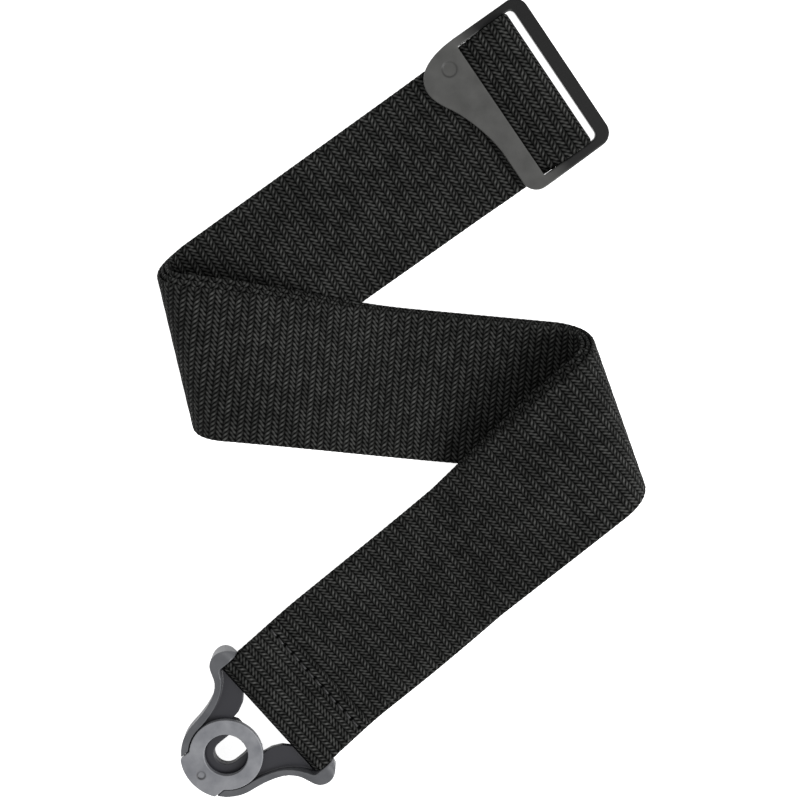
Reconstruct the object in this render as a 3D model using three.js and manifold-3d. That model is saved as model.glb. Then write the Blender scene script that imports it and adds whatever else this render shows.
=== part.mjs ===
// A 50 mm webbing guitar strap, folded in three for storage: one continuous webbing, a slide
// adjuster, and a strap-button lock at each end. Millimetres, +Z up, resting on z = 0.
import * as THREE from "three";
import { mergeVertices } from "three/addons/utils/BufferGeometryUtils.js";
import Module from "manifold-3d";

const wasm = await Module();
wasm.setup();

// Driving dimensions
const WEB_WIDTH = 50;
const WEB_THICK = 1.3;
const LAYER_PITCH = 1.65; // webbing thickness and the air between two layers
const FOLD_RADIUS = 10.5; // outermost layer's middle, at both folds
const TOP_ANGLE = 35.2; // degrees from +X: direction of each straight length, in plan
const MIDDLE_ANGLE = -5.3;
const BOTTOM_ANGLE = 39.9;
const LOCK_ANGLE = 40.2; // the locks lie a little askew on the webbing
const ADJUSTER_AT = [42.3, 103.3]; // plan places, before the whole strap is centred
const MIDDLE_AT = [-16, 6.8]; // a point on the middle length's centre line
const UPPER_BAR_AT = [-43.2, -110.3]; // the upper lock's webbing bar
const LOWER_BAR_AT = [-44.2, -113.8]; // the lower lock has slid a little way out from under it
const LEFT_FOLD = -57.5; // each fold's axis, measured from the plan origin along its normal
const RIGHT_FOLD = -59.1;
const SPLAY = 1.5; // how much further a fold reaches at its lower edge than in its middle
const LEFT_RAMP = 70; // how far the webbing takes to come down after each fold
const RIGHT_RAMP = 90;
const MIDDLE_SPREAD = 0.65; // sideways offset of one layer on the next, on the middle length
const UPPER_LOCK_Z = 8.05; // underside of the lock that lies on the other one
const SPREAD_FROM = 30; // from the bars, where the layers start to part for the two of them
const STITCHED_AT = 17; // from the upper bar, where the tail is sewn down
const TAIL_LENGTH = 20.5;
const GAP = 0.3; // running clearance between parts

// Lock, in its own frame: origin on the ring's axis at its underside, +x towards the webbing
const BAR_X = 23.65;
const BAR_Z = 3.85;
const BAR_RADIUS = 2.2;
const LOOP_RADIUS = 3.15; // middle of the webbing round a bar
const RIM_INNER = 13.5;
const RIM_OUTER = 16;
const RIM_HEIGHT = 5.4;
const EAR_HEIGHT = 7.7; // the ears end in a half circle round the bar
const EAR_INSIDE = 25.5; // half the clear width between the ears
const WEB_LOW = 1.5; // the thin plate between the rims
const WEB_HIGH = 3.5;
const SLOT_HALF = 4.5; // the strap button's neck
const LAND_RADIUS = 7.3; // the raised land round the slot, where the button's head bears
const LAND_HIGH = 3.65;
const RING_RADIUS = 13;
const RING_HOLE = 7.75; // the strap button's head
const RING_LOW = 3.8;
const RING_HIGH = 6;
const TAB_HALF = 9.2;
const TAB_REACH = 16.2;
const KEEPER_RADIUS = 12.4;
const KEEPER_FRONT = 10.7; // its front is cut off straight, within the ring
const KEEPER_LOW = 0.2;
const KEEPER_HIGH = 1.2;
const GUIDE_Y = 9.3; // the ring's legs run in two guide slots
const LEG_BACK = -7;
const LEG_FRONT = -3;
const LEG_MIDDLE = (LEG_BACK + LEG_FRONT) / 2;
const GUIDE_END = 7;
const SPRING_RADIUS = 0.85;
const SPRING_WIRE = 0.2;
const SPRING_COILS = 6;
const LEG_HALF = 1.1;
const GUIDE_HALF = 1.4;
const SPIGOT_RADIUS = 0.8; // staked through the keeper's holes
const SPIGOT_HOLE = 1.1;
const GATE_MARK = [1.5, -11.6, 0]; // radius and place of the moulding's gate mark on the tab
const MARK_DEEP = 0.5;
const BITE = 0.5; // how far joined features run into each other

// Slide adjuster, in its own frame: origin in the middle of its window, +x away from the folds
const CENTRE_BAR = [-0.5, 5.3];
const CENTRE_BAR_THICK = 2.6;
const CENTRE_BAR_Z = 4.55;
const WINDOW = [-11.1, 11];
const FRAME_THICK = 3;
const PADDLE_LOW = 6.55;
const FRAME_FALL = 0.22; // slope of the side rails from the paddle down to the far bar
const DIMPLE_AT = [-17.2, 20.9]; // a shallow round dimple in the paddle's lobe
const DIMPLE_RADIUS = 2.6;
const DIMPLE_DEEP = 0.4;

const FLOOR_LAYER = WEB_THICK / 2; // each layer's middle
const SECOND_LAYER = FLOOR_LAYER + LAYER_PITCH;
const THIRD_LAYER = FLOOR_LAYER + 2 * LAYER_PITCH;
const HALF_WEB = WEB_WIDTH / 2;
const rad = THREE.MathUtils.degToRad;
const ease = (t) => THREE.MathUtils.smoothstep(t, 0, 1);
const lerp = THREE.MathUtils.lerp;
const planDirection = (angle) => new THREE.Vector3(Math.cos(rad(angle)), Math.sin(rad(angle)), 0);
const planPoint = ([x, y]) => new THREE.Vector3(x, y, 0);
const leftOf = (d) => new THREE.Vector3(-d.y, d.x, 0);

// Materials
const plastic = new THREE.MeshStandardMaterial({ color: 0x3a3a3c, roughness: 0.5, metalness: 0 });
const darkPlastic = new THREE.MeshStandardMaterial({ color: 0x2a2a2c, roughness: 0.55, metalness: 0 });
const fabric = new THREE.MeshStandardMaterial({ color: 0x111112, roughness: 0.85, metalness: 0 });
const steel = new THREE.MeshStandardMaterial({ color: 0xb4b6b8, roughness: 0.3, metalness: 1 });

// Solids
function solid(geometry) {
  const bare = geometry.index ? geometry.toNonIndexed() : geometry.clone();
  bare.deleteAttribute("normal");
  bare.deleteAttribute("uv");
  const merged = mergeVertices(bare, 1e-4);
  return new wasm.Manifold(
    new wasm.Mesh({
      numProp: 3,
      vertProperties: new Float32Array(merged.attributes.position.array),
      triVerts: new Uint32Array(merged.index.array),
    }),
  );
}

function geometryOf(body) {
  const made = body.getMesh();
  return new THREE.BufferGeometry()
    .setAttribute("position", new THREE.BufferAttribute(new Float32Array(made.vertProperties), 3))
    .setIndex(new THREE.BufferAttribute(new Uint32Array(made.triVerts), 1));
}

function namedMesh(name, geometry, material) {
  const shown = geometry.toNonIndexed();
  shown.computeVertexNormals();
  const mesh = new THREE.Mesh(shown, material);
  mesh.name = name;
  return mesh;
}

// An outline's points, without the repeats that arcs leave where they join.
function distinct(points) {
  return points.filter((p, i) => p.distanceTo(points.at(i - 1)) > 0.01);
}

function extruded(shape, depth, curveSegments) {
  const outline = distinct(shape.getPoints(curveSegments));
  if (THREE.ShapeUtils.isClockWise(outline)) outline.reverse();
  const plain = new THREE.Shape(outline);
  plain.holes = shape.holes.map((hole) => new THREE.Path(distinct(hole.getPoints(curveSegments))));
  return new THREE.ExtrudeGeometry(plain, { depth, bevelEnabled: false });
}

// A plan outline raised from z = low to z = high.
function plate(shape, low, high, curveSegments = 10) {
  return solid(extruded(shape, high - low, curveSegments).translate(0, 0, low));
}

// A side outline, drawn in x and z, running across y from -reach to reach.
function sideProfile(shape, reach) {
  const across = extruded(shape, 2 * reach, 8).translate(0, 0, -reach);
  return solid(across.rotateX(Math.PI / 2));
}

const box = (x0, x1, y0, y1, z0, z1) =>
  solid(
    new THREE.BoxGeometry(x1 - x0, y1 - y0, z1 - z0).translate(
      (x0 + x1) / 2,
      (y0 + y1) / 2,
      (z0 + z1) / 2,
    ),
  );

const upright = (radius, x, y, z0, z1, sides = 24) =>
  solid(
    new THREE.CylinderGeometry(radius, radius, z1 - z0, sides)
      .rotateX(Math.PI / 2)
      .translate(x, y, (z0 + z1) / 2),
  );

const mirrored = (body) => body.mirror([0, 1, 0]);

// The webbing's route. A station is a straight line across the webbing, from its edge a to its
// edge b. Every run is laid out from the adjuster to the locks, then turned round where needed.
function square(at, direction, z) {
  const half = leftOf(direction).multiplyScalar(HALF_WEB);
  const middle = new THREE.Vector3(at.x, at.y, z);
  return { a: middle.clone().add(half), b: middle.clone().sub(half) };
}

// A fold's axis lies halfway between the two lengths that it joins. The webbing arrives against
// the fold's normal and leaves along it, and lean is its sideways travel for each mm of that.
function foldFrame(arriving, leaving, axisAt, edgeSide, ramp) {
  const normal = leaving.clone().sub(arriving).normalize();
  const along = leftOf(normal);
  return { normal, along, axisAt, edgeSide, ramp, lean: leaving.dot(along) / leaving.dot(normal) };
}

// A line across the webbing with its middle at n and c, parallel to the fold's axis but for splay.
function skewed(fold, n, c, z, splay) {
  const reach = fold.edgeSide * HALF_WEB * Math.hypot(1, fold.lean);
  const at = (out, shift) =>
    fold.normal.clone().multiplyScalar(n - out).addScaledVector(fold.along, c + shift).setZ(z);
  return { a: at(splay, reach), b: at(-splay, -reach) };
}

// Where the line through point along direction is n from the origin along the fold's normal.
function crossing(point, direction, fold, n) {
  const travel = (n - point.dot(fold.normal)) / direction.dot(fold.normal);
  return point.clone().addScaledVector(direction, travel);
}

const topWay = planDirection(TOP_ANGLE + 180);
const middleWay = planDirection(MIDDLE_ANGLE);
const bottomWay = planDirection(BOTTOM_ANGLE + 180);
const adjusterAt = planPoint(ADJUSTER_AT);
const lockX = planDirection(LOCK_ANGLE);
const upperBarAt = planPoint(UPPER_BAR_AT);
const lowerBarAt = planPoint(LOWER_BAR_AT);
const leftFold = foldFrame(topWay, middleWay, LEFT_FOLD, -1, LEFT_RAMP);
const rightFold = foldFrame(middleWay, bottomWay, RIGHT_FOLD, 1, RIGHT_RAMP);

// Up round the half circle, then down a slope to the next level, settling on the target line.
function foldStations(fold, start, lowZ, nextZ, target, targetWay) {
  const turns = 16;
  const slopes = 12;
  const centreZ = FLOOR_LAYER + FOLD_RADIUS;
  const radius = centreZ - lowZ;
  const marks = [];
  for (let i = 0; i <= turns; i++) {
    const turn = (Math.PI * i) / turns;
    const bulge = Math.sin(turn);
    marks.push([fold.axisAt - radius * bulge, centreZ - radius * Math.cos(turn), SPLAY * bulge]);
  }
  for (let i = 1; i <= slopes; i++) {
    const t = i / slopes;
    marks.push([fold.axisAt + fold.ramp * t, lerp(2 * centreZ - lowZ, nextZ, ease(t)), 0]);
  }
  let run = 0;
  const places = marks.map(([n, z, splay], i) => {
    if (i > 0) run += Math.hypot(n - marks[i - 1][0], z - marks[i - 1][1]);
    return { n, z, splay, c: start.dot(fold.along) + fold.lean * run };
  });
  const last = places[places.length - 1];
  const drift = crossing(target, targetWay, fold, last.n).dot(fold.along) - last.c;
  return places.map(({ n, z, c, splay }, i) =>
    skewed(fold, n, c + drift * ease((i - turns) / slopes), z, splay),
  );
}

// The three runs between the adjuster and the locks. level is 0 at the floor beside the adjuster.
function foldedRun(level) {
  const lowZ = FLOOR_LAYER + level * LAYER_PITCH;
  const highZ = FLOOR_LAYER + (2 - level) * LAYER_PITCH;
  const sideways = leftOf(middleWay).multiplyScalar(MIDDLE_SPREAD * (level - 1));
  const middleLine = planPoint(MIDDLE_AT).add(sideways);
  const leftStart = crossing(adjusterAt, topWay, leftFold, leftFold.axisAt);
  const rightStart = crossing(middleLine, middleWay, rightFold, rightFold.axisAt);
  const barAt = level === 2 ? upperBarAt : lowerBarAt;
  const bottomAt = barAt.clone().addScaledVector(lockX, SPREAD_FROM);
  return [
    ...foldStations(leftFold, leftStart, lowZ, highZ, middleLine, middleWay),
    ...foldStations(rightFold, rightStart, highZ, lowZ, bottomAt, bottomWay),
  ];
}

// A stretch beside the adjuster or a lock, as places [x, z] along a straight centre line.
const stretch = (origin, xWay, places, travel) =>
  places.map(([x, z]) => square(origin.clone().addScaledVector(xWay, x), travel, z));

function arcPlaces(x, z, radius, fromDegrees, toDegrees, steps) {
  return Array.from({ length: steps + 1 }, (_, i) => {
    const turn = rad(lerp(fromDegrees, toDegrees, i / steps));
    return [x + radius * Math.cos(turn), z + radius * Math.sin(turn)];
  });
}

// A smooth change of height between two places on a stretch.
function slopePlaces(x0, z0, x1, z1, steps) {
  return Array.from({ length: steps + 1 }, (_, i) => [
    lerp(x0, x1, i / steps),
    lerp(z0, z1, ease(i / steps)),
  ]);
}

const adjusterX = topWay.clone().negate();
const barEnd = CENTRE_BAR[1] - CENTRE_BAR_THICK / 2; // middle of the centre bar's rounded edge
const innerWrap = CENTRE_BAR_THICK / 2 + GAP + WEB_THICK / 2;
const outerWrap = innerWrap + LAYER_PITCH;
const PADDLE_STACK = FLOOR_LAYER + 3 * LAYER_PITCH; // fourth layer's middle, under the paddle
const UNDER_PADDLE = -11.4; // where the upper layers reach the paddle
const ON_TOP = 0.8; // where they lie flat on the centre bar
const TAIL_END = -23;
const RUN_FROM = -38; // where the stretches beside the adjuster begin
const CLIMB = [-36, -25]; // where the front run rises to the paddle

// Front run at the adjuster: under the paddle, up over the centre bar, then down past its edge.
const overCentreBar = stretch(
  adjusterAt,
  adjusterX,
  [
    [RUN_FROM, THIRD_LAYER],
    ...slopePlaces(CLIMB[0], THIRD_LAYER, CLIMB[1], PADDLE_STACK, 5),
    ...slopePlaces(UNDER_PADDLE, PADDLE_STACK, ON_TOP, CENTRE_BAR_Z + outerWrap, 6),
    ...arcPlaces(barEnd, CENTRE_BAR_Z, outerWrap, 90, -90, 12),
    [RUN_FROM, FLOOR_LAYER],
  ],
  topWay,
);

// The sewn loop round the centre bar, from under the bar to its cut end beneath the paddle.
const sewnLoop = stretch(
  adjusterAt,
  adjusterX,
  [
    [RUN_FROM, SECOND_LAYER],
    ...arcPlaces(barEnd, CENTRE_BAR_Z, innerWrap, -90, 90, 10),
    ...slopePlaces(ON_TOP, CENTRE_BAR_Z + innerWrap, UNDER_PADDLE, THIRD_LAYER, 6),
    [TAIL_END, THIRD_LAYER],
  ],
  topWay,
);

// At the locks: the front run's sewn tail round the upper bar, the return run round the lower.
const upperBarZ = UPPER_LOCK_Z + BAR_Z;
const frontBelowBar = upperBarZ - LOOP_RADIUS;
const frontZ = (x) => lerp(frontBelowBar, THIRD_LAYER, ease(x / SPREAD_FROM));
const tailZ = (x) => frontZ(x) + lerp(2 * LOOP_RADIUS, LAYER_PITCH, ease(x / STITCHED_AT));
const span = (from, to, steps) =>
  Array.from({ length: steps + 1 }, (_, i) => lerp(from, to, i / steps));

const upperLoop = stretch(
  upperBarAt,
  lockX,
  [
    ...span(TAIL_LENGTH, 0, 12).map((x) => [x, tailZ(x)]),
    ...arcPlaces(0, upperBarZ, LOOP_RADIUS, 90, 270, 12).slice(1, -1),
    ...span(0, SPREAD_FROM, 10).map((x) => [x, frontZ(x)]),
  ],
  lockX.clone().negate(),
);

const lowerLoop = stretch(
  lowerBarAt,
  lockX,
  [
    ...slopePlaces(SPREAD_FROM, FLOOR_LAYER, 0, BAR_Z - LOOP_RADIUS, 3),
    ...arcPlaces(0, BAR_Z, LOOP_RADIUS, 270, 90, 12).slice(1, -1),
    ...slopePlaces(0, BAR_Z + LOOP_RADIUS, SPREAD_FROM, SECOND_LAYER, 10),
  ],
  lockX.clone().negate(),
);

// The whole webbing in one piece, from the tail at the upper lock to the tail at the adjuster.
const webbingStations = [
  ...upperLoop,
  ...foldedRun(2).reverse(),
  ...overCentreBar,
  ...foldedRun(0),
  ...lowerLoop,
  ...foldedRun(1).reverse(),
  ...sewnLoop,
];

function webbing() {
  const middles = webbingStations.map(({ a, b }) => a.clone().add(b).multiplyScalar(0.5));
  const corners = webbingStations.flatMap(({ a, b }, i) => {
    const ahead = middles[Math.min(i + 1, middles.length - 1)];
    const behind = middles[Math.max(i - 1, 0)];
    const across = a.clone().sub(b);
    const face = new THREE.Vector3().crossVectors(ahead.clone().sub(behind), across);
    face.setLength(WEB_THICK / 2);
    return [a.clone().add(face), b.clone().add(face), b.clone().sub(face), a.clone().sub(face)];
  });
  const faces = [0, 2, 1, 0, 3, 2];
  for (let i = 0; i < webbingStations.length - 1; i++) {
    for (let side = 0; side < 4; side++) {
      const here = 4 * i + side;
      const next = 4 * i + ((side + 1) % 4);
      faces.push(here, next, next + 4, here, next + 4, here + 4);
    }
  }
  const end = 4 * (webbingStations.length - 1);
  faces.push(end, end + 1, end + 2, end, end + 2, end + 3);
  return new THREE.BufferGeometry().setFromPoints(corners).setIndex(faces);
}

// Lock frame: two rims that flare into ears, the thin plate between them, and the webbing bar.
function rimShape() {
  const tipY = TAB_HALF + 0.45;
  const tip = (radius) => Math.atan2(tipY, -Math.sqrt(radius ** 2 - tipY ** 2));
  const flare = rad(98);
  const shape = new THREE.Shape();
  shape.moveTo(RIM_INNER * Math.cos(tip(RIM_INNER)), tipY);
  shape.absarc(0, 0, RIM_OUTER, tip(RIM_OUTER), flare, true);
  shape.bezierCurveTo(7, 16.9, 14.8, 19.8, 16.3, 26);
  shape.absarc(22, 25, 5.6, rad(170), rad(6), true);
  shape.lineTo(27.6, EAR_INSIDE);
  shape.lineTo(19.8, EAR_INSIDE);
  shape.lineTo(19, 24.8);
  shape.bezierCurveTo(15, 17, 6, 14.2, RIM_INNER * Math.cos(flare), RIM_INNER * Math.sin(flare));
  shape.absarc(0, 0, RIM_INNER, flare, tip(RIM_INNER), false);
  return shape;
}

// The plate: under the ring and out to the rims, with the button's slot opening into a window.
function webShape() {
  const back = 14.6;
  const frontX = 19.3;
  const shape = new THREE.Shape();
  const edge = [
    [-7.2, 12.7],
    [-3.6, 14.3],
    [4, 15.4],
    [9, 17.2],
    [13.4, 20.4],
    [16.6, 24.6],
    [17.6, 25.2],
    [frontX, 25.2],
    [frontX, 13.2],
  ];
  const window = [
    [16.9, 10.6],
    [13.4, 8.9],
    [10.2, 8.4],
    [7.6, 7.4],
    [6.4, SLOT_HALF],
  ];
  const upper = [...edge, ...window];
  shape.absarc(0, 0, back, rad(180 + 42), rad(180 - 42), true);
  upper.forEach(([x, y]) => shape.lineTo(x, y));
  shape.lineTo(0, SLOT_HALF);
  shape.absarc(0, 0, SLOT_HALF, rad(90), rad(270), false);
  [...upper].reverse().forEach(([x, y]) => shape.lineTo(x, -y));
  for (const side of [-1, 1]) {
    const y = side * GUIDE_Y;
    const guide = new THREE.Path();
    guide.moveTo(LEG_BACK - GAP, y - GUIDE_HALF);
    guide.lineTo(GUIDE_END, y - GUIDE_HALF);
    guide.lineTo(GUIDE_END, y + GUIDE_HALF);
    guide.lineTo(LEG_BACK - GAP, y + GUIDE_HALF);
    guide.closePath();
    shape.holes.push(guide);
  }
  return shape;
}

// The raised land, open towards the window like the slot that it goes round.
function landShape() {
  const opening = Math.asin(SLOT_HALF / LAND_RADIUS);
  const shape = new THREE.Shape();
  shape.absarc(0, 0, LAND_RADIUS, opening, 2 * Math.PI - opening, false);
  shape.lineTo(0, -SLOT_HALF);
  shape.absarc(0, 0, SLOT_HALF, rad(270), rad(90), true);
  return shape;
}

function lockFrame() {
  const side = new THREE.Shape();
  side.moveTo(-20, 0);
  side.lineTo(BAR_X, 0);
  side.absarc(BAR_X, BAR_Z, EAR_HEIGHT / 2, rad(-90), rad(90), false);
  side.lineTo(20, EAR_HEIGHT);
  side.bezierCurveTo(16, EAR_HEIGHT, 14, RIM_HEIGHT, 8, RIM_HEIGHT);
  side.lineTo(-20, RIM_HEIGHT);
  const rim = plate(rimShape(), -1, 9).intersect(sideProfile(side, 40));
  const bar = solid(
    new THREE.CylinderGeometry(BAR_RADIUS, BAR_RADIUS, 2 * EAR_INSIDE + 3, 20)
      .translate(BAR_X, 0, BAR_Z),
  );
  const land = plate(landShape(), WEB_HIGH - BITE, LAND_HIGH);
  return rim.add(mirrored(rim)).add(plate(webShape(), WEB_LOW, WEB_HIGH)).add(land).add(bar);
}

// The ring that closes round the button's head, with its push tab and two legs.
function slideRing() {
  const tabAngle = Math.asin(TAB_HALF / TAB_REACH);
  const neckAngle = Math.asin(TAB_HALF / RING_RADIUS);
  const shape = new THREE.Shape();
  shape.absarc(0, 0, TAB_REACH, Math.PI - tabAngle, Math.PI + tabAngle, false);
  shape.absarc(0, 0, RING_RADIUS, -Math.PI + neckAngle, Math.PI - neckAngle, false);
  const hole = new THREE.Path().absarc(0, 0, RING_HOLE, 0, 2 * Math.PI, true);
  shape.holes.push(hole);
  let ring = plate(shape, RING_LOW, RING_HIGH, 24);
  ring = ring.subtract(upright(...GATE_MARK, RING_HIGH - MARK_DEEP, RING_HIGH + 1));
  for (const side of [-1, 1]) {
    const y = side * GUIDE_Y;
    const leg = box(LEG_BACK, LEG_FRONT, y - LEG_HALF, y + LEG_HALF, WEB_LOW, RING_LOW + BITE);
    const spigot = upright(SPIGOT_RADIUS, LEG_MIDDLE, y, KEEPER_LOW + 0.1, WEB_LOW + BITE, 12);
    ring = ring.add(leg).add(spigot);
  }
  return ring;
}

// The keeper under the frame: a closed slot, carried on the ring's legs, that traps the neck.
function keeper() {
  const shape = new THREE.Shape();
  const front = Math.acos(KEEPER_FRONT / KEEPER_RADIUS);
  shape.absarc(0, 0, KEEPER_RADIUS, front, rad(128), false);
  shape.absarc(0, 0, KEEPER_RADIUS, rad(-128), -front, false);
  const slot = new THREE.Path();
  slot.absarc(0, 0, SLOT_HALF + 0.1, rad(270), rad(90), true);
  slot.absarc(3.6, 0, SLOT_HALF + 0.1, rad(90), rad(-90), true);
  shape.holes.push(slot);
  for (const side of [-1, 1]) {
    const hole = new THREE.Path();
    hole.absarc(LEG_MIDDLE, side * GUIDE_Y, SPIGOT_HOLE, 0, 2 * Math.PI, true);
    shape.holes.push(hole);
  }
  return plate(shape, KEEPER_LOW, KEEPER_HIGH, 12);
}

// A compression spring along x, from a leg to the end of its guide slot.
function spring(y) {
  const steps = SPRING_COILS * 8;
  const from = LEG_FRONT + GAP + SPRING_WIRE;
  const to = GUIDE_END - GAP - SPRING_WIRE;
  const points = Array.from({ length: steps + 1 }, (_, i) => {
    const turn = (2 * Math.PI * SPRING_COILS * i) / steps;
    return new THREE.Vector3(
      lerp(from, to, i / steps),
      y + SPRING_RADIUS * Math.cos(turn),
      (WEB_LOW + WEB_HIGH) / 2 + SPRING_RADIUS * Math.sin(turn),
    );
  });
  const wire = new THREE.Shape();
  wire.absarc(0, 0, SPRING_WIRE, 0, 2 * Math.PI);
  const settings = {
    extrudePath: new THREE.CatmullRomCurve3(points),
    steps,
    curveSegments: 3,
    bevelEnabled: false,
  };
  return solid(new THREE.ExtrudeGeometry(wire, settings));
}

function lock(prefix, barAt, z) {
  const group = new THREE.Group();
  const add = (name, body, material) =>
    group.add(namedMesh(prefix + name, geometryOf(body), material));
  add("_frame", lockFrame(), plastic);
  add("_slide_ring", slideRing(), plastic);
  add("_keeper_plate", keeper(), darkPlastic);
  add("_left_spring", spring(GUIDE_Y), steel);
  add("_right_spring", spring(-GUIDE_Y), steel);
  group.rotation.z = rad(LOCK_ANGLE);
  group.position.copy(barAt).addScaledVector(lockX, -BAR_X).setZ(z);
  return group;
}

// Slide adjuster: a paddle over the stack, two rails sloping down, a centre bar and a far bar.
function adjusterOutline() {
  const shape = new THREE.Shape();
  shape.moveTo(-18.2, -11);
  shape.bezierCurveTo(-18.6, -4.5, -20.8, 3.6, -24, 9.7);
  shape.bezierCurveTo(-27, 14.4, -29, 19.2, -25.8, 23.4);
  shape.bezierCurveTo(-23.4, 26.6, -18, 28.2, -11, 28.2);
  shape.lineTo(10.6, 28.2);
  shape.absarc(10.9, 23.4, 4.8, rad(90), 0, true);
  shape.lineTo(15.7, -23.6);
  shape.absarc(10.9, -23.8, 4.8, 0, rad(-90), true);
  shape.lineTo(-13, -28.6);
  shape.absarc(-13, -23.4, 5.2, rad(-90), rad(-180), true);
  const window = new THREE.Path();
  const half = HALF_WEB + GAP;
  window.moveTo(WINDOW[0], -half);
  window.lineTo(WINDOW[0], half);
  window.absarc(WINDOW[1] - 2, half - 2, 2, rad(90), 0, true);
  window.absarc(WINDOW[1] - 2, 2 - half, 2, 0, rad(-90), true);
  shape.holes.push(window);
  return shape;
}

function adjusterFrame() {
  const fallTo = (x) => CENTRE_BAR_Z + FRAME_FALL * (2 - x);
  const bend = -10;
  const side = new THREE.Shape();
  side.moveTo(-32, PADDLE_LOW);
  side.lineTo(bend, PADDLE_LOW);
  side.lineTo(17, fallTo(17) - FRAME_THICK / 2);
  side.lineTo(17, fallTo(17) + FRAME_THICK / 2);
  side.lineTo(bend + 0.8, PADDLE_LOW + FRAME_THICK);
  side.lineTo(-32, PADDLE_LOW + FRAME_THICK);
  const frame = plate(adjusterOutline(), -2, 14, 8).intersect(sideProfile(side, 40));
  const half = CENTRE_BAR_THICK / 2;
  const barSide = new THREE.Shape();
  barSide.absarc(CENTRE_BAR[0] + half, CENTRE_BAR_Z, half, rad(90), rad(270), false);
  barSide.absarc(CENTRE_BAR[1] - half, CENTRE_BAR_Z, half, rad(-90), rad(90), false);
  const top = PADDLE_LOW + FRAME_THICK;
  const dimple = upright(DIMPLE_RADIUS, ...DIMPLE_AT, top - DIMPLE_DEEP, top + 1);
  return frame.subtract(dimple).add(sideProfile(barSide, HALF_WEB + 1.4));
}

function adjuster() {
  const group = new THREE.Group();
  group.add(namedMesh("slide_adjuster", geometryOf(adjusterFrame()), plastic));
  group.rotation.z = rad(TOP_ANGLE);
  group.position.copy(adjusterAt);
  return group;
}

const strap = new THREE.Group();
strap.add(namedMesh("webbing", webbing(), fabric));
strap.add(adjuster());
strap.add(lock("upper_lock", upperBarAt, UPPER_LOCK_Z));
strap.add(lock("lower_lock", lowerBarAt, 0));

// The origin goes under the middle of the whole strap.
const extent = new THREE.Box3().setFromObject(strap, true);
const middle = extent.getCenter(new THREE.Vector3());
strap.position.set(-middle.x, -middle.y, 0);

export default strap;
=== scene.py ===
"""Looks for a 50 mm webbing guitar strap, folded flat, with a slide adjuster and two button locks.

Route lengths below are in millimetres in the CAD's own layout, as in the CAD source; MM and SHIFT take
them to the row frame in metres.
"""

import math

import bmesh
import bpy
import numpy as np
from mathutils import Matrix, Vector


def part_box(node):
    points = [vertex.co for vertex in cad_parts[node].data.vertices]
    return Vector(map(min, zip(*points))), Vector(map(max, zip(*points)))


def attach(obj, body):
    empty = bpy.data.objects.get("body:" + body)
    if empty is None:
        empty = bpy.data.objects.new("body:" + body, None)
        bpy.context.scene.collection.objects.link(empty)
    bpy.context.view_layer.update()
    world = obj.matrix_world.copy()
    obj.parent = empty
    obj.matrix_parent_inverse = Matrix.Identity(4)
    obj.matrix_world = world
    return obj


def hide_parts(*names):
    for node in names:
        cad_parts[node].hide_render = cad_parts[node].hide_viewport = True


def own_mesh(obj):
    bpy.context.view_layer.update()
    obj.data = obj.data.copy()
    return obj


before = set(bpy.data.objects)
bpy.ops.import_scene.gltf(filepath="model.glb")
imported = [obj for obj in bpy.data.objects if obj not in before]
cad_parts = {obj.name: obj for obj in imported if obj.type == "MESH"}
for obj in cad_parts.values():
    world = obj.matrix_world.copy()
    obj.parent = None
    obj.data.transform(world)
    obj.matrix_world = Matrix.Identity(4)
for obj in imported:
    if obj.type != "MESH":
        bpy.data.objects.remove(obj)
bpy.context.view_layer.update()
scene = bpy.context.scene

MM = 0.001
SHIFT = (-1.3802, 5.7804, 0.0)  # the CAD centres the whole strap by this much

# Camera, in the same layout
CAMERA_AT = (0.0, 87.0, 492.0)
CAMERA_LOOKS_AT = (0.0, 0.0, 5.0)
CAMERA_FOV = 31.0

# The webbing's route
WEB_WIDTH = 50.0
WEB_THICK = 1.3
LAYER_PITCH = 1.65
FOLD_RADIUS = 10.5
TOP_ANGLE = 35.2
MIDDLE_ANGLE = -5.3
BOTTOM_ANGLE = 39.9
LOCK_ANGLE = 40.2
ADJUSTER_AT = (42.3, 103.3)
MIDDLE_AT = (-16.0, 6.8)
UPPER_BAR_AT = (-43.2, -110.3)
LOWER_BAR_AT = (-44.2, -113.8)
LEFT_FOLD = -57.5
RIGHT_FOLD = -59.1
SPLAY = 1.5
LEFT_RAMP = 70.0
RIGHT_RAMP = 90.0
MIDDLE_SPREAD = 0.65
UPPER_LOCK_Z = 8.05
SPREAD_FROM = 30.0
STITCHED_AT = 17.0
TAIL_LENGTH = 20.5
STITCH_PITCH = 4.0
BAR_Z = 3.85
BAR_X = 23.65
RING_MARK_X = -11.6
PADDLE_MARK_AT = (-17.2, 20.9)
LOOP_RADIUS = 3.15
CENTRE_BAR = (-0.5, 5.3)
CENTRE_BAR_THICK = 2.6
CENTRE_BAR_Z = 4.55
UNDER_PADDLE = -11.4
ON_TOP = 0.8
TAIL_END = -23.0
RUN_FROM = -38.0
CLIMB = (-36.0, -25.0)
GAP = 0.3

# A return spring: coil radius, wire radius, turns, start, stop and guide offset, in the lock's frame
SPRING = (0.85, 0.2, 6, -2.5, 6.5, 9.3)

FLOOR_LAYER = WEB_THICK / 2  # each layer's middle
SECOND_LAYER = FLOOR_LAYER + LAYER_PITCH
THIRD_LAYER = FLOOR_LAYER + 2 * LAYER_PITCH
HALF_WEB = WEB_WIDTH / 2

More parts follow.
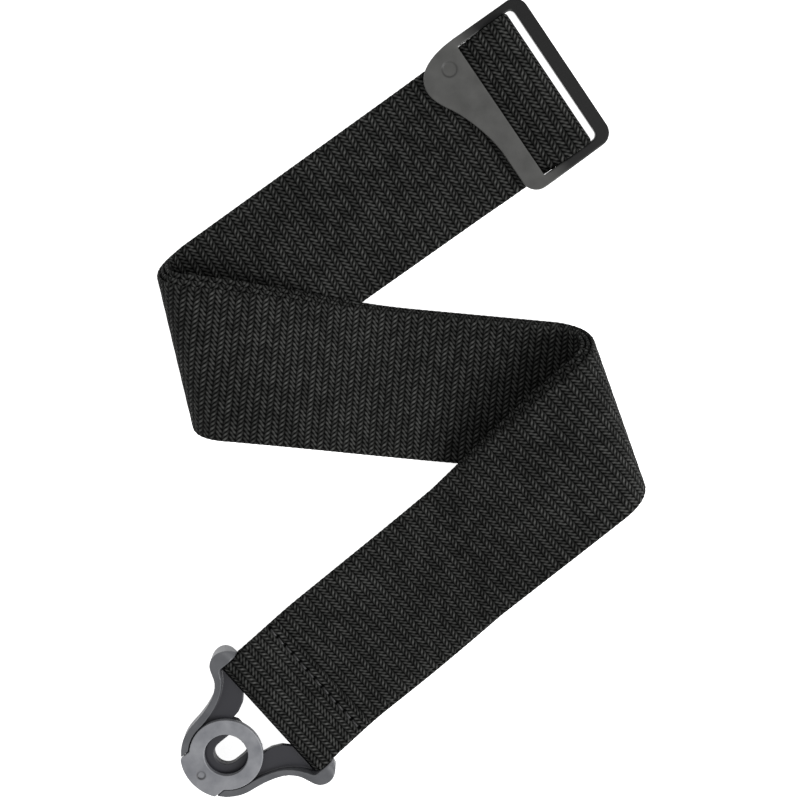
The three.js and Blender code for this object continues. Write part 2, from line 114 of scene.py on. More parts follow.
# The weave
RIB_PITCH = 2.27  # from one weft to the next, along the webbing
FLOAT_PITCH = 1.6  # from one slanted float to the next, across it
FLOAT_SLANT = 1.45  # how many pitches a float leans over along its length
RIB_HEIGHT = 0.2
RIB_ROUNDNESS = 0.7  # below 1 gives the ribs broader tops
ROW_STEP = RIB_PITCH / 4
COLUMNS = 24
SELVEDGE = 0.5  # how far in from the edge the webbing starts to thin
SELVEDGE_STANDS_OUT = 0.24
EDGE_ROUND = 0.28  # how far in the points that round off each edge sit, as a share of the selvedge
EDGE_THIN = 0.55  # the selvedge's thickness there, as a share of the webbing's
EDGE_LIFT = 0.42  # and how much of that its rounding keeps
SEAM_DENT = 0.22  # how deep the stitching pulls the webbing in
SEAM_WIDTH = 0.6
SEAM_AT = TAIL_LENGTH - STITCHED_AT  # from the webbing's sewn end

# Painted shade on the mouldings
RECESS_TOP = 4.3  # a lock's web plate lies below this, and is painted darker there as shade
RECESS_BLEND = 0.4
RECESS_HALF_WIDTH = 25.6
SLIDE_SHADE = (-11.0, 9.0)  # where the adjuster's painted shade starts across its width, and over how far it deepens


# ---------------------------------------------------------------- helpers
def lerp(a, b, t):
    return a + (b - a) * t


def ease(t):
    t = min(max(t, 0.0), 1.0)
    return t * t * (3 - 2 * t)


def way(degrees):
    turn = math.radians(degrees)
    return np.array([math.cos(turn), math.sin(turn)])


def left_of(d):
    return np.array([-d[1], d[0]])


def place(x, y, z):
    """A point of the CAD layout in the row frame."""
    return Vector(((x + SHIFT[0]) * MM, (y + SHIFT[1]) * MM, (z + SHIFT[2]) * MM))


def link(name, mesh):
    made = bpy.data.objects.new(name, mesh)
    scene.collection.objects.link(made)
    return made


def mesh_from(name, points, faces, smooth=True):
    mesh = bpy.data.meshes.new(name)
    mesh.from_pydata([tuple(p) for p in points], [], faces)
    mesh.update()
    if smooth:
        mesh.shade_smooth()
    return mesh


# ---------------------------------------------------------------- camera
def make_camera():
    data = bpy.data.cameras.new("camera")
    data.sensor_width = 36.0
    data.lens = 18.0 / math.tan(math.radians(CAMERA_FOV / 2))
    data.clip_start, data.clip_end = 0.01, 20.0
    camera = bpy.data.objects.new("camera", data)
    scene.collection.objects.link(camera)
    at, target = place(*CAMERA_AT), place(*CAMERA_LOOKS_AT)
    ahead = (target - at).normalized()
    right = ahead.cross(Vector((0, 1, 0))).normalized()
    up = right.cross(ahead)
    turn = Matrix((right, up, -ahead)).transposed().to_4x4()
    camera.matrix_world = Matrix.Translation(at) @ turn
    scene.camera = camera


make_camera()

# ---------------------------------------------------------------- the webbing's route
TOP_WAY = way(TOP_ANGLE + 180)
MIDDLE_WAY = way(MIDDLE_ANGLE)
BOTTOM_WAY = way(BOTTOM_ANGLE + 180)
LOCK_X = way(LOCK_ANGLE)
ADJUSTER_X = -TOP_WAY
adjuster_at = np.array(ADJUSTER_AT)
upper_bar_at = np.array(UPPER_BAR_AT)
lower_bar_at = np.array(LOWER_BAR_AT)


def square(at, direction, z):
    half = left_of(direction) * HALF_WEB
    return np.array([*(at + half), z]), np.array([*(at - half), z])


class Fold:
    """A fold's axis lies halfway between the two lengths that it joins."""

    def __init__(self, arriving, leaving, axis_at, edge_side, ramp):
        normal = leaving - arriving
        self.normal = normal / np.linalg.norm(normal)
        self.along = left_of(self.normal)
        self.axis_at, self.edge_side, self.ramp = axis_at, edge_side, ramp
        self.lean = leaving.dot(self.along) / leaving.dot(self.normal)

    def crossing(self, point, direction, n):
        return point + direction * ((n - point.dot(self.normal)) / direction.dot(self.normal))

    def line(self, n, c, z, splay):
        reach = self.edge_side * HALF_WEB * math.hypot(1, self.lean)
        ends = []
        for out, shift in ((splay, reach), (-splay, -reach)):
            flat = self.normal * (n - out) + self.along * (c + shift)
            ends.append(np.array([flat[0], flat[1], z]))
        return tuple(ends)

    def stations(self, start, low_z, next_z, target, target_way, turns=48, slopes=40):
        """Up round the half circle, then down a slope, settling on the target line."""
        centre_z = FLOOR_LAYER + FOLD_RADIUS
        radius = centre_z - low_z
        marks = []
        for i in range(turns + 1):
            turn = math.pi * i / turns
            bulge = math.sin(turn)
            n = self.axis_at - radius * bulge
            marks.append((n, centre_z - radius * math.cos(turn), SPLAY * bulge))
        for i in range(1, slopes + 1):
            t = i / slopes
            z = lerp(2 * centre_z - low_z, next_z, ease(t))
            marks.append((self.axis_at + self.ramp * t, z, 0.0))
        run, c = 0.0, []
        for i, (n, z, _) in enumerate(marks):
            if i:
                run += math.hypot(n - marks[i - 1][0], z - marks[i - 1][1])
            c.append(start.dot(self.along) + self.lean * run)
        landing = self.crossing(target, target_way, marks[-1][0])
        drift = landing.dot(self.along) - c[-1]
        return [
            self.line(n, c[i] + drift * ease((i - turns) / slopes), z, splay)
            for i, (n, z, splay) in enumerate(marks)
        ]


LEFT = Fold(TOP_WAY, MIDDLE_WAY, LEFT_FOLD, -1, LEFT_RAMP)
RIGHT = Fold(MIDDLE_WAY, BOTTOM_WAY, RIGHT_FOLD, 1, RIGHT_RAMP)


def folded_run(level):
    """One of the three runs between the adjuster and the locks, 0 at the floor by the adjuster."""
    low_z = FLOOR_LAYER + level * LAYER_PITCH
    high_z = FLOOR_LAYER + (2 - level) * LAYER_PITCH
    middle_line = np.array(MIDDLE_AT) + left_of(MIDDLE_WAY) * MIDDLE_SPREAD * (level - 1)
    left_start = LEFT.crossing(adjuster_at, TOP_WAY, LEFT.axis_at)
    right_start = RIGHT.crossing(middle_line, MIDDLE_WAY, RIGHT.axis_at)
    bottom_at = (upper_bar_at if level == 2 else lower_bar_at) + LOCK_X * SPREAD_FROM
    return LEFT.stations(left_start, low_z, high_z, middle_line, MIDDLE_WAY) + RIGHT.stations(
        right_start, high_z, low_z, bottom_at, BOTTOM_WAY
    )


def stretch(origin, x_way, places, travel):
    return [square(origin + x_way * x, travel, z) for x, z in places]


def arc_places(x, z, radius, start, end, steps):
    turns = np.radians(np.linspace(start, end, steps + 1))
    return [(x + radius * math.cos(t), z + radius * math.sin(t)) for t in turns]


def slope_places(x0, z0, x1, z1, steps):
    return [
        (lerp(x0, x1, i / steps), lerp(z0, z1, ease(i / steps))) for i in range(steps + 1)
    ]


def webbing_stations():
    bar_end = CENTRE_BAR[1] - CENTRE_BAR_THICK / 2
    inner = CENTRE_BAR_THICK / 2 + GAP + WEB_THICK / 2
    outer = inner + LAYER_PITCH
    paddle_stack = FLOOR_LAYER + 3 * LAYER_PITCH
    upper_bar_z = UPPER_LOCK_Z + BAR_Z

    def front_z(x):
        return lerp(upper_bar_z - LOOP_RADIUS, THIRD_LAYER, ease(x / SPREAD_FROM))

    def tail_z(x):
        return front_z(x) + lerp(2 * LOOP_RADIUS, LAYER_PITCH, ease(x / STITCHED_AT))

    over_centre_bar = [
        (RUN_FROM, THIRD_LAYER),
        *slope_places(CLIMB[0], THIRD_LAYER, CLIMB[1], paddle_stack, 16),
        *slope_places(UNDER_PADDLE, paddle_stack, ON_TOP, CENTRE_BAR_Z + outer, 18),
        *arc_places(bar_end, CENTRE_BAR_Z, outer, 90, -90, 32),
        (RUN_FROM, FLOOR_LAYER),
    ]
    sewn_loop = [
        (RUN_FROM, SECOND_LAYER),
        *arc_places(bar_end, CENTRE_BAR_Z, inner, -90, 90, 28),
        *slope_places(ON_TOP, CENTRE_BAR_Z + inner, UNDER_PADDLE, THIRD_LAYER, 18),
        (TAIL_END, THIRD_LAYER),
    ]
    upper_loop = [
        *[(x, tail_z(x)) for x in np.linspace(TAIL_LENGTH, 0, 30)],
        *arc_places(0, upper_bar_z, LOOP_RADIUS, 90, 270, 32)[1:-1],
        *[(x, front_z(x)) for x in np.linspace(0, SPREAD_FROM, 30)],
    ]
    lower_loop = [
        *slope_places(SPREAD_FROM, FLOOR_LAYER, 0, BAR_Z - LOOP_RADIUS, 4),
        *arc_places(0, BAR_Z, LOOP_RADIUS, 270, 90, 32)[1:-1],
        *slope_places(0, BAR_Z + LOOP_RADIUS, SPREAD_FROM, SECOND_LAYER, 30),
    ]
    return [
        *stretch(upper_bar_at, LOCK_X, upper_loop, -LOCK_X),
        *folded_run(2)[::-1],
        *stretch(adjuster_at, ADJUSTER_X, over_centre_bar, TOP_WAY),
        *folded_run(0),
        *stretch(lower_bar_at, LOCK_X, lower_loop, -LOCK_X),
        *folded_run(1)[::-1],
        *stretch(adjuster_at, ADJUSTER_X, sewn_loop, TOP_WAY),
    ]


def smoothed(grid, passes):
    """Rounds off the corners between the route's stretches. The two ends stay."""
    for _ in range(passes):
        grid[1:-1] = 0.25 * grid[:-2] + 0.5 * grid[1:-1] + 0.25 * grid[2:]
    return grid


def middle_surface():
    """The webbing's middle surface: rows of points across it, evenly spaced along the cloth."""
    ends = webbing_stations()
    a = np.array([e[0] for e in ends])
    b = np.array([e[1] for e in ends])
    inset = SELVEDGE / WEB_WIDTH
    shares = np.concatenate([[0.0], np.linspace(inset, 1 - inset, COLUMNS), [1.0]])
    columns, lengths = [], []
    for s in shares:
        line = a + (b - a) * s
        along = np.concatenate([[0.0], np.cumsum(np.linalg.norm(np.diff(line, axis=0), axis=1))])
        columns.append((line, along))
        lengths.append(along[-1])
    length = float(np.mean(lengths))
    rows = int(round(length / ROW_STEP)) + 1
    at = np.linspace(0, 1, rows)
    grid = np.empty((rows, len(shares), 3))
    for j, (line, along) in enumerate(columns):
        for k in range(3):
            grid[:, j, k] = np.interp(at * along[-1], along, line[:, k])
    return smoothed(grid, 3), shares, at * length, length


def make_webbing():
    grid, shares, along, length = middle_surface()
    tangent = np.gradient(grid, axis=0)
    across = np.gradient(grid, axis=1)
    normal = np.cross(tangent, across)
    normal /= np.linalg.norm(normal, axis=2, keepdims=True)

    crest = np.abs(np.cos(np.pi * along / RIB_PITCH)) ** RIB_ROUNDNESS
    seam = np.exp(-(((along - SEAM_AT) / SEAM_WIDTH) ** 2))
    half = WEB_THICK / 2 + 0.01 - RIB_HEIGHT * (1 - crest) - SEAM_DENT * seam
    thin = half * EDGE_THIN
    count = len(shares)
    # One ring of points round the webbing per row: top, edge, underside, edge.
    ring = [(j, 1.0 if 0 < j < count - 1 else 0.0) for j in range(count)]
    ring += [(j, -1.0) for j in range(count - 2, 0, -1)]
    sides = len(ring)
    points = np.empty((len(along), sides, 3))
    for k, (j, side) in enumerate(ring):
        if side:
            points[:, k] = grid[:, j] + normal[:, j] * (half * side)[:, None]
        else:
            # The selvedge stands out a little where each weft turns back.
            outward = grid[:, j] - grid[:, 1 if j == 0 else count - 2]
            outward /= np.linalg.norm(outward, axis=1, keepdims=True)
            points[:, k] = grid[:, j] + outward * (SELVEDGE_STANDS_OUT + 0.10 * (crest - 0.6))[:, None]
    # Two more points round off each edge.
    rounded, marks = [], []
    for k, (j, side) in enumerate(ring):
        rounded.append(points[:, k])
        marks.append(shares[j])
        nxt = (k + 1) % sides
        here_edge, next_edge = side == 0.0, ring[nxt][1] == 0.0
        if here_edge or next_edge:
            edge, body = (k, nxt) if here_edge else (nxt, k)
            j_edge = ring[edge][0]
            blend = EDGE_ROUND * points[:, body] + (1 - EDGE_ROUND) * points[:, edge]
            lift = normal[:, j_edge] * (thin * EDGE_LIFT * ring[body][1])[:, None]
            rounded.append(blend + lift)
            marks.append(lerp(shares[j_edge], shares[ring[body][0]], EDGE_ROUND))
    points = np.stack(rounded, axis=1)
    sides = points.shape[1]
    rows = len(along)
    flat = points.reshape(-1, 3)
    flat = (flat + np.array(SHIFT)) * MM

    index = np.arange(rows * sides).reshape(rows, sides)
    here, nxt = index[:-1], index[1:]
    quads = np.stack(
        [here, np.roll(here, -1, axis=1), np.roll(nxt, -1, axis=1), nxt], axis=-1
    ).reshape(-1, 4)
    mesh = bpy.data.meshes.new("webbing_strap")
    faces = quads.tolist()
    faces.append(index[0][::-1].tolist())
    faces.append(index[-1].tolist())
    mesh.from_pydata(flat.tolist(), [], faces)
    mesh.update()

    bm = bmesh.new()
    bm.from_mesh(mesh)
    if bm.calc_volume(signed=True) < 0:
        bmesh.ops.reverse_faces(bm, faces=bm.faces)
    bm.to_mesh(mesh)
    bm.free()
    mesh.shade_smooth()

    # Cloth coordinates in metres: across, then along.
    layer = mesh.uv_layers.new(name="weave")
    u = np.array(marks) * WEB_WIDTH * MM
    v = along * MM
    loops = np.empty(len(mesh.loops), np.int32)
    mesh.loops.foreach_get("vertex_index", loops)
    uv = np.stack([u[loops % sides], v[loops // sides]], axis=1)
    layer.data.foreach_set("uv", uv.astype(np.float32).ravel())
    return link("webbing_strap", mesh), length


# ---------------------------------------------------------------- materials
class Nodes:
    """Short names for building a material's nodes."""

    def __init__(self, name):
        self.material = bpy.data.materials.new(name)
        self.material.use_nodes = True
        self.tree = self.material.node_tree
        self.tree.nodes.clear()
        self.out = self.add("ShaderNodeOutputMaterial")
        self.shader = self.add("ShaderNodeBsdfPrincipled")
        self.join(self.shader.outputs["BSDF"], self.out.inputs["Surface"])

    def add(self, kind, **settings):
        node = self.tree.nodes.new(kind)
        for key, value in settings.items():
            setattr(node, key, value)
        return node

    def join(self, a, b):
        self.tree.links.new(a, b)

    def feed(self, socket, value):
        if isinstance(value, bpy.types.NodeSocket):
            self.join(value, socket)
        else:
            socket.default_value = value

    def math(self, operation, *values, clamp=False):
        node = self.add("ShaderNodeMath", operation=operation, use_clamp=clamp)
        for socket, value in zip(node.inputs, values):
            self.feed(socket, value)
        return node.outputs[0]

    def noise(self, vector, scale, detail=3.0, roughness=0.5):
        node = self.add("ShaderNodeTexNoise")
        self.feed(node.inputs["Vector"], vector)
        node.inputs["Scale"].default_value = scale
        node.inputs["Detail"].default_value = detail
        node.inputs["Roughness"].default_value = roughness
        return node.outputs["Fac"]

    def ramp(self, value, low, high, to_low, to_high):
        node = self.add("ShaderNodeMapRange", clamp=True)
        for socket, v in zip(node.inputs, (value, low, high, to_low, to_high)):
            self.feed(socket, v)
        return node.outputs[0]

    def mix(self, factor, a, b):
        node = self.add("ShaderNodeMix", data_type="RGBA")
        self.feed(node.inputs["Factor"], factor)
        for socket, colour in ((node.inputs[6], a), (node.inputs[7], b)):
            self.feed(socket, colour if isinstance(colour, bpy.types.NodeSocket) else (*colour, 1.0))
        return node.outputs[2]

    def bump(self, height, distance, strength=1.0, base=None):
        node = self.add("ShaderNodeBump")
        node.inputs["Strength"].default_value = strength
        node.inputs["Distance"].default_value = distance
        self.join(height, node.inputs["Height"])
        if base is not None:
            self.join(base, node.inputs["Normal"])
        return node.outputs["Normal"]

    def set(self, **inputs):
        for name, value in inputs.items():
            self.feed(self.shader.inputs[name.replace("_", " ")], value)


def woven(name, dark, light):
    """Herringbone polypropylene webbing: slanted warp floats, turned about at each weft. Its colour is
    painted sheen on the raised floats and painted shade in the gaps and needle holes.
    """
    n = Nodes(name)
    cloth = n.add("ShaderNodeUVMap", uv_map="weave").outputs["UV"]
    split = n.add("ShaderNodeSeparateXYZ")
    n.join(cloth, split.inputs[0])
    y = n.math("DIVIDE", split.outputs["Y"], RIB_PITCH * MM)
    row = n.math("FLOOR", n.math("ADD", y, 0.5))
    within = n.math("SUBTRACT", y, row)  # -0.5 to 0.5 along one float
    sign = n.math("SUBTRACT", 1.0, n.math("MULTIPLY", n.math("FLOORED_MODULO", row, 2.0), 2.0))
    over = n.math("DIVIDE", split.outputs["X"], FLOAT_PITCH * MM)
    slant = n.math("MULTIPLY", n.math("MULTIPLY", within, sign), FLOAT_SLANT)
    x = n.math("ADD", over, slant)
    end = n.math("FLOOR", x)
    side = n.math("SUBTRACT", n.math("SUBTRACT", x, end), 0.5)
    across = n.math("COSINE", n.math("MULTIPLY", side, math.pi))
    dive = n.math("POWER", n.math("COSINE", n.math("MULTIPLY", within, math.pi)), 0.5)
    floats = n.math("MULTIPLY", across, n.math("ADD", n.math("MULTIPLY", dive, 0.7), 0.3))
    # The ends between the floats lie lower, and rise in every other row.
    swing = n.math("MULTIPLY", n.math("COSINE", n.math("MULTIPLY", over, 2 * math.pi)), sign)
    brick = n.math("MULTIPLY", n.math("ADD", n.math("MULTIPLY", swing, 0.5), 0.5), dive)
    height = n.math("ADD", n.math("MULTIPLY", floats, 0.68), n.math("MULTIPLY", brick, 0.32))
    # Needle holes between the stitches of the row near the webbing's end; they sink the relief and are
    # painted dark as shade in the holes
    seam_x = n.math("DIVIDE", n.math("SUBTRACT", split.outputs["X"], HALF_WEB * MM), STITCH_PITCH * MM)
    to_hole = n.math("MULTIPLY", n.math("SUBTRACT", seam_x, n.math("ROUND", seam_x)), STITCH_PITCH * MM)
    to_seam = n.math("SUBTRACT", split.outputs["Y"], SEAM_AT * MM)
    apart = n.math("SQRT", n.math("ADD", n.math("POWER", to_hole, 2.0), n.math("POWER", to_seam, 2.0)))
    whole = n.ramp(apart, 0.45 * MM, 1.0 * MM, 0.0, 1.0)
    height = n.math("MULTIPLY", height, whole)
    fine = n.noise(cloth, 5200.0, 2.0)
    broad = n.noise(cloth, 38.0, 3.0)
    rows = n.add("ShaderNodeTexWhiteNoise", noise_dimensions="2D")
    pair = n.add("ShaderNodeCombineXYZ")
    n.join(end, pair.inputs[0])
    n.join(row, pair.inputs[1])
    n.join(pair.outputs[0], rows.inputs["Vector"])
    lively = n.ramp(rows.outputs["Value"], 0.0, 1.0, 0.6, 1.25)
    # Colour from height: painted sheen on the floats and painted shade between them, times a random tone
    # per float
    float_sheen_and_gap_shade = n.math("POWER", height, 2.0)
    tone = n.math("MULTIPLY", n.math("MULTIPLY", float_sheen_and_gap_shade, lively), n.ramp(broad, 0.3, 0.7, 0.85, 1.12))
    colour = n.mix(n.math("MINIMUM", tone, 1.0), dark, light)
    rough = n.ramp(fine, 0.3, 0.7, 0.5, 0.66)
    relief = n.bump(height, 0.00042)
    normal = n.bump(fine, 0.00003, 0.6, relief)
    n.set(Base_Color=colour, Roughness=rough, Normal=normal, Specular_IOR_Level=0.015)
    return n.material


def moulded(name, body, flow_and_edge_highlight, rough=(0.38, 0.5), grain=0.000018, painted_shade=None, specular=0.5):
    """Injection-moulded acetal: fine spark grain, faint flow marks, a painted highlight along the sharp
    edges, painted shade in the creases, and painted shade where the mesh's shade mask is set.
    """
    n = Nodes(name)
    at = n.add("ShaderNodeTexCoord").outputs["Object"]
    fine = n.noise(at, 5200.0, 2.0, 0.6)
    flow = n.noise(at, 140.0, 4.0, 0.55)
    colour = n.mix(n.ramp(flow, 0.3, 0.7, 0.0, 0.7), body, flow_and_edge_highlight)
    roughness = n.ramp(fine, 0.3, 0.7, *rough)
    edges = n.add("ShaderNodeNewGeometry").outputs["Pointiness"]
    # Painted highlight along the sharp edges, in the paler flow colour
    colour = n.mix(n.ramp(edges, 0.51, 0.58, 0.0, 0.8), colour, flow_and_edge_highlight)
    # Painted shade where the mesh's shade mask is set: under a lock's rim, in gate-mark crescents and
    # over the adjuster's far side
    if painted_shade is not None:
        mask = n.add("ShaderNodeAttribute", attribute_name="painted_shade").outputs["Fac"]
        colour = n.mix(mask, colour, painted_shade)
    # Painted shade in the creases, where pointiness is low
    painted_crease_shade = n.ramp(edges, 0.42, 0.49, 0.75, 0.0)
    colour = n.mix(painted_crease_shade, colour, tuple(0.15 * c for c in body))
    n.set(
        Base_Color=colour,
        Roughness=roughness,
        Normal=n.bump(fine, grain, 0.7),
        Specular_IOR_Level=specular,
    )
    return n.material


def wire_steel(name):
    n = Nodes(name)
    at = n.add("ShaderNodeTexCoord").outputs["Object"]
    drawn = n.noise(at, 2600.0, 3.0)
    n.set(
        Base_Color=n.mix(drawn, (0.42, 0.43, 0.44), (0.66, 0.67, 0.68)),
        Metallic=1.0,
        Roughness=n.ramp(drawn, 0.3, 0.7, 0.22, 0.4),
    )
    return n.material


def thread_material(name):
    n = Nodes(name)
    at = n.add("ShaderNodeTexCoord").outputs["Object"]
    twist = n.add("ShaderNodeTexWave", wave_type="BANDS", bands_direction="DIAGONAL")
    n.join(at, twist.inputs["Vector"])
    twist.inputs["Scale"].default_value = 900.0
    n.set(
        Base_Color=n.mix(twist.outputs["Fac"], (0.003, 0.003, 0.003), (0.02, 0.02, 0.02)),
        Roughness=0.5,
        Normal=n.bump(twist.outputs["Fac"], 0.00006),
    )
    return n.material


# The webbing's colours run from painted shade in its gaps to painted sheen on its floats
WEBBING = woven("webbing", (0.0004, 0.0004, 0.0004), (0.074, 0.075, 0.072))
LOCK = moulded("lock_plastic", (0.060, 0.062, 0.068), (0.115, 0.117, 0.125), painted_shade=(0.022, 0.022, 0.027))
RING = moulded("ring_plastic", (0.14, 0.144, 0.158), (0.27, 0.273, 0.288), painted_shade=(0.03, 0.03, 0.034))
DARK = moulded("dark_plastic", (0.028, 0.028, 0.031), (0.06, 0.06, 0.064))
ADJUSTER = moulded(
    "adjuster_plastic",
    (0.052, 0.052, 0.050),
    (0.085, 0.085, 0.082),
    painted_shade=(0.004, 0.004, 0.004),
    specular=0.3,
)
STEEL = wire_steel("spring_steel")
THREAD = thread_material("stitching_thread")

# ---------------------------------------------------------------- the strap
webbing, webbing_length = make_webbing()
webbing.data.materials.append(WEBBING)
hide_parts("webbing")
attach(webbing, "strap")


# ---------------------------------------------------------------- moulded parts
DRAWN_IN = 0.04  # what the smoothing takes off a moulding's faces


def moulded_copy(node, name, voxel, smoothing):
    """The CAD node's solid, with its edges rounded off as a moulding's are."""
    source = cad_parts[node]
    work = bpy.data.objects.new("work", source.data.copy())
    scene.collection.objects.link(work)
    work.matrix_world = source.matrix_world
    weld = work.modifiers.new("weld", "WELD")
    weld.merge_threshold = 1e-6
    remesh = work.modifiers.new("remesh", "REMESH")
    remesh.mode = "VOXEL"
    remesh.voxel_size = voxel * MM
    soften = work.modifiers.new("soften", "SMOOTH")
    soften.factor = 0.5
    soften.iterations = smoothing
    bpy.context.view_layer.update()
    evaluated = work.evaluated_get(bpy.context.evaluated_depsgraph_get())
    mesh = bpy.data.meshes.new_from_object(evaluated)
    mesh.transform(work.matrix_world)
    mesh.name = name
    mesh.materials.clear()
    # Smoothing has drawn the faces in; this puts them back.
    at = np.empty(len(mesh.vertices) * 3, np.float32)
    out = np.empty(len(mesh.vertices) * 3, np.float32)
    mesh.vertices.foreach_get("co", at)
    mesh.vertices.foreach_get("normal", out)
    mesh.vertices.foreach_set("co", at + out * (DRAWN_IN * MM))
    old = work.data
    bpy.data.objects.remove(work)
    bpy.data.meshes.remove(old)
    mesh.shade_smooth()
    return link(name, mesh)


def points_of(mesh):
    at = np.empty(len(mesh.vertices) * 3, np.float32)
    mesh.vertices.foreach_get("co", at)
    return at.reshape(-1, 3).astype(float) / MM - np.array(SHIFT)


def paint(piece, name, values):
    layer = piece.data.attributes.new(name, "FLOAT", "POINT")
    layer.data.foreach_set("value", np.clip(values, 0, 1).astype(np.float32))


def gate_mark_shade(x, y, radius):
    """Painted shade: a darker crescent on one side inside a moulding's round gate mark."""
    from_rim = np.abs(np.hypot(x, y) - radius)
    return np.clip(1.2 - from_rim / 0.4, 0, 1) * (0.55 - 0.45 * np.cos(np.arctan2(y, x)))


def finish_piece(piece, node, body, material):
    piece.data.materials.append(material)
    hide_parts(node)
    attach(piece, body)
    return piece


def lock_places(points, bar_at, z0):
    """Points in a lock's own frame: origin on the ring's axis, x towards the webbing."""
    ring_at = bar_at - LOCK_X * BAR_X
    flat = points[:, :2] - ring_at
    return np.stack([flat @ LOCK_X, flat @ left_of(LOCK_X), points[:, 2] - z0], axis=1)


def coil(name, node, body, bar_at, side):
    """A smooth helical wire where the CAD's coarse spring is."""
    low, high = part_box(node)
    z_mid = (low[2] + high[2]) / 2
    radius, wire, coils, start, stop, guide_y = SPRING
    ring_at = bar_at - LOCK_X * BAR_X
    curve = bpy.data.curves.new(name, "CURVE")
    curve.dimensions = "3D"
    curve.bevel_depth = wire * MM
    curve.bevel_resolution = 3
    curve.use_fill_caps = True
    spline = curve.splines.new("POLY")
    steps = coils * 28
    spline.points.add(steps)
    for i in range(steps + 1):
        turn = 2 * math.pi * coils * i / steps
        x = lerp(start, stop, i / steps)
        y = side * guide_y + radius * math.cos(turn)
        flat = ring_at + LOCK_X * x + left_of(LOCK_X) * y
        at = place(flat[0], flat[1], 0)
        spline.points[i].co = (at.x, at.y, z_mid + radius * MM * math.sin(turn), 1)
    made = bpy.data.objects.new(name, curve)
    scene.collection.objects.link(made)
    bpy.context.view_layer.update()
    mesh = bpy.data.meshes.new_from_object(
        made.evaluated_get(bpy.context.evaluated_depsgraph_get())
    )
    bpy.data.objects.remove(made)
    mesh.shade_smooth()
    made = finish_piece(link(name, mesh), node, body, STEEL)
    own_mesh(made)


for level, bar_at, z0 in (("upper", upper_bar_at, UPPER_LOCK_Z), ("lower", lower_bar_at, 0.0)):
    prefix = f"{level}_lock"
    shell = moulded_copy(f"{prefix}_frame", f"{prefix}_shell", voxel=0.22, smoothing=7)
    # Painted shade on the web plate below the lock's rim
    local = lock_places(points_of(shell.data), bar_at, z0)
    inside = np.abs(local[:, 1]) < RECESS_HALF_WIDTH
    paint(shell, "painted_shade", (RECESS_TOP - local[:, 2]) / RECESS_BLEND * inside)
    finish_piece(shell, f"{prefix}_frame", prefix, LOCK)
    ring = moulded_copy(f"{prefix}_slide_ring", f"{prefix}_ring", voxel=0.2, smoothing=6)
    local = lock_places(points_of(ring.data), bar_at, z0)
    # Painted shade in the crescent of the ring's gate mark
    paint(ring, "painted_shade", gate_mark_shade(local[:, 0] - RING_MARK_X, local[:, 1], 1.45) * (local[:, 2] > 5))
    finish_piece(ring, f"{prefix}_slide_ring", f"{level}_ring", RING)
    keeper = moulded_copy(f"{prefix}_keeper_plate", f"{prefix}_keeper", voxel=0.2, smoothing=3)
    finish_piece(keeper, f"{prefix}_keeper_plate", f"{level}_ring", DARK)
    for hand, side in (("left", 1), ("right", -1)):
        node = f"{prefix}_{hand}_spring"
        coil(f"{prefix}_{hand}_coil", node, prefix, bar_at, side)

slide = moulded_copy("slide_adjuster", "slide_adjuster_frame", voxel=0.25, smoothing=6)
# Painted shade: the frame darkens from the paddle towards the far bar, and in the crescent of the
# paddle's gate mark
local = points_of(slide.data)
flat = local[:, :2] - adjuster_at
across_x = flat @ ADJUSTER_X
paddle_mark_shade = gate_mark_shade(across_x - PADDLE_MARK_AT[0], flat @ left_of(ADJUSTER_X) - PADDLE_MARK_AT[1], 2.5)
paint(slide, "painted_shade", np.maximum((across_x - SLIDE_SHADE[0]) / SLIDE_SHADE[1], 0.5 * paddle_mark_shade))
finish_piece(slide, "slide_adjuster", "strap", ADJUSTER)


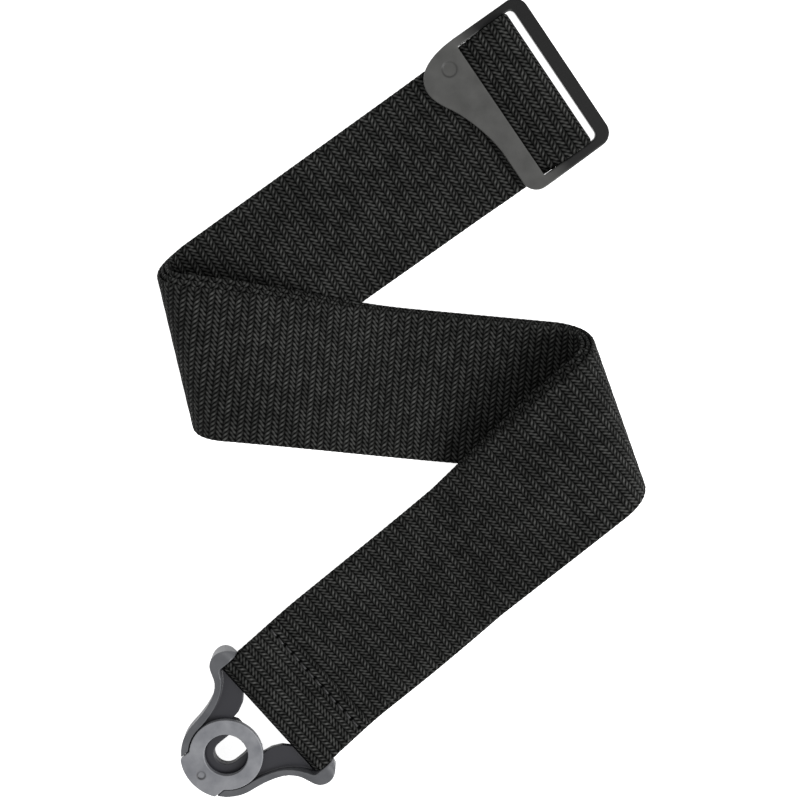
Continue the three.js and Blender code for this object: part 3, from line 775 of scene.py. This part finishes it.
# ---------------------------------------------------------------- stitching
def stitch_row(name, x, z, count=12):
    """A straight lockstitch row across the webbing: thread bars that dive into their holes."""
    points, faces = [], []
    rng = np.random.default_rng(7)
    axis = left_of(LOCK_X)
    rings, sides, reach, radius, deep = 13, 10, 1.66, 0.42, 0.62
    for i in range(count):
        middle = (i - (count - 1) / 2) * STITCH_PITCH
        wander = rng.uniform(-0.12, 0.12, 2)
        start = len(points)
        for r in range(rings):
            t = -1 + 2 * r / (rings - 1)
            sink = deep * abs(t) ** 3.2
            y = middle + reach * t
            centre = upper_bar_at + LOCK_X * (x + wander[0] + 0.10 * t) + axis * y
            thick = radius * (1 - 0.35 * t**6)
            for s in range(sides):
                turn = 2 * math.pi * s / sides
                flat = centre + LOCK_X * (thick * 1.15 * math.cos(turn))
                points.append(place(flat[0], flat[1], z + 0.06 - sink + thick * math.sin(turn)))
        for r in range(rings - 1):
            for s in range(sides):
                a, b = start + r * sides + s, start + r * sides + (s + 1) % sides
                faces.append((a, b, b + sides, a + sides))
        faces.append(tuple(start + s for s in range(sides))[::-1])
        faces.append(tuple(start + (rings - 1) * sides + s for s in range(sides)))
    made = link(name, mesh_from(name, points, faces))
    made.data.materials.append(THREAD)
    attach(made, "strap")
    return made


upper_bar_z = UPPER_LOCK_Z + BAR_Z
ramp_at = ease(STITCHED_AT / SPREAD_FROM)
front = lerp(upper_bar_z - LOOP_RADIUS, THIRD_LAYER, ramp_at)
stitches = stitch_row("upper_loop_stitching", STITCHED_AT, front + LAYER_PITCH + WEB_THICK / 2)


# ---------------------------------------------------------------- stage and light
def make_stage():
    size, low = 3.0, -0.0006
    corners = [(-size, -size, low), (size, -size, low), (size, size, low), (-size, size, low)]
    mesh = mesh_from("floor", corners, [(0, 1, 2, 3)], smooth=False)
    floor = link("floor", mesh)
    n = Nodes("floor")
    at = n.add("ShaderNodeTexCoord").outputs["Object"]
    paper = n.noise(at, 900.0, 3.0)
    n.set(
        Base_Color=n.mix(paper, (0.90, 0.90, 0.90), (0.93, 0.93, 0.93)),
        Roughness=0.9,
        Normal=n.bump(paper, 0.00002, 0.3),
        Specular_IOR_Level=0.1,
        Emission_Color=(1.0, 1.0, 1.0, 1.0),
        Emission_Strength=0.9,
    )
    mesh.materials.append(n.material)

    world = bpy.data.worlds.new("studio")
    scene.world = world
    world.use_nodes = True
    background = world.node_tree.nodes["Background"]
    background.inputs["Color"].default_value = (1.0, 1.0, 1.0, 1.0)
    background.inputs["Strength"].default_value = 0.55

    def area(name, at, size, power, towards=(0, 0, 0)):
        data = bpy.data.lights.new(name, "AREA")
        data.shape = "RECTANGLE"
        data.size, data.size_y = size
        data.energy = power
        lamp = bpy.data.objects.new(name, data)
        scene.collection.objects.link(lamp)
        lamp.location = at
        aim = Vector(towards) - Vector(at)
        lamp.rotation_mode = "QUATERNION"
        lamp.rotation_quaternion = aim.to_track_quat("-Z", "Y")

    area("key", (0.9, -0.35, 0.85), (0.6, 0.6), 15.0)
    area("fill", (-0.6, 0.7, 1.0), (0.9, 0.9), 3.0)
    scene.view_settings.view_transform = "Standard"


make_stage()

# ---------------------------------------------------------------- done
bpy.context.view_layer.update()
